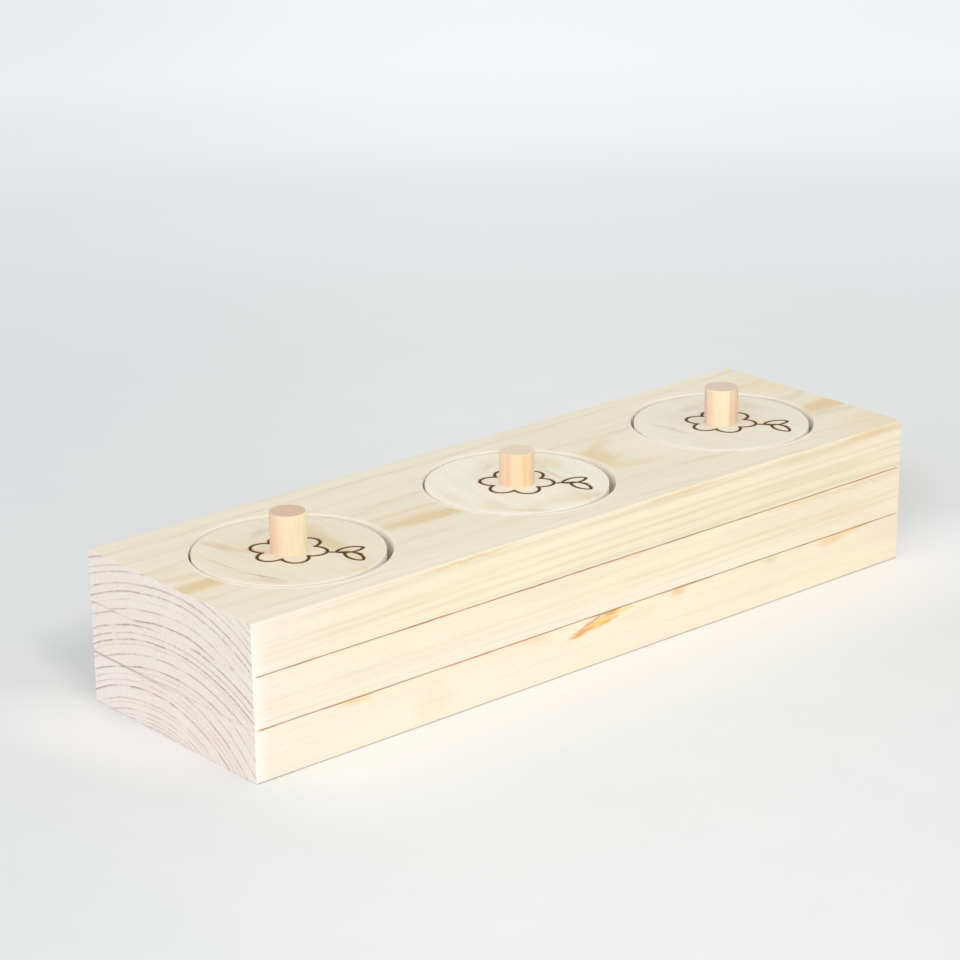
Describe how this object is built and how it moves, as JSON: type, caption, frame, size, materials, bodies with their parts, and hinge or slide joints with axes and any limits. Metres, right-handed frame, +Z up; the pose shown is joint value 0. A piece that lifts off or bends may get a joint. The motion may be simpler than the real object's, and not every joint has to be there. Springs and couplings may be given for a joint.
{
  "type": "treat puzzle for small pets",
  "caption": "Oblong wooden block with round treat wells, each closed by a loose plug-shaped lid that is lifted off by its dowel peg.",
  "frame": {"origin": "middle of the block's underside, at the middle of the bounding box's bottom", "axes": "+X along the block from the left lid to the right lid, -Y towards the long side that the viewer sees, +Z up"},
  "size_m": [0.298, 0.09, 0.0675],
  "materials": {
    "plank_pine": "bare pine, planed and sanded, with eased edges",
    "lid_pine": "bare pine, sanded, with a line design burned into the top",
    "peg_dowel": "bare birch dowel, smooth, with sawn ends"
  },
  "bodies": {
    "block": {"base_board": "plank_pine", "middle_board": "plank_pine", "top_board": "plank_pine"},
    "left_lid": {"left_lid_disc": "lid_pine", "left_lid_peg": "peg_dowel"},
    "centre_lid": {"centre_lid_disc": "lid_pine", "centre_lid_peg": "peg_dowel"},
    "right_lid": {"right_lid_disc": "lid_pine", "right_lid_peg": "peg_dowel"}
  },
  "joints": [
    {"name": "left_lid_lift", "type": "slide", "parent": "block", "child": "left_lid", "axis": [0, 0, 1], "range_m": [0, 0.05]},
    {"name": "centre_lid_lift", "type": "slide", "parent": "block", "child": "centre_lid", "axis": [0, 0, 1], "range_m": [0, 0.05]},
    {"name": "right_lid_lift", "type": "slide", "parent": "block", "child": "right_lid", "axis": [0, 0, 1], "range_m": [0, 0.05]}
  ]
}
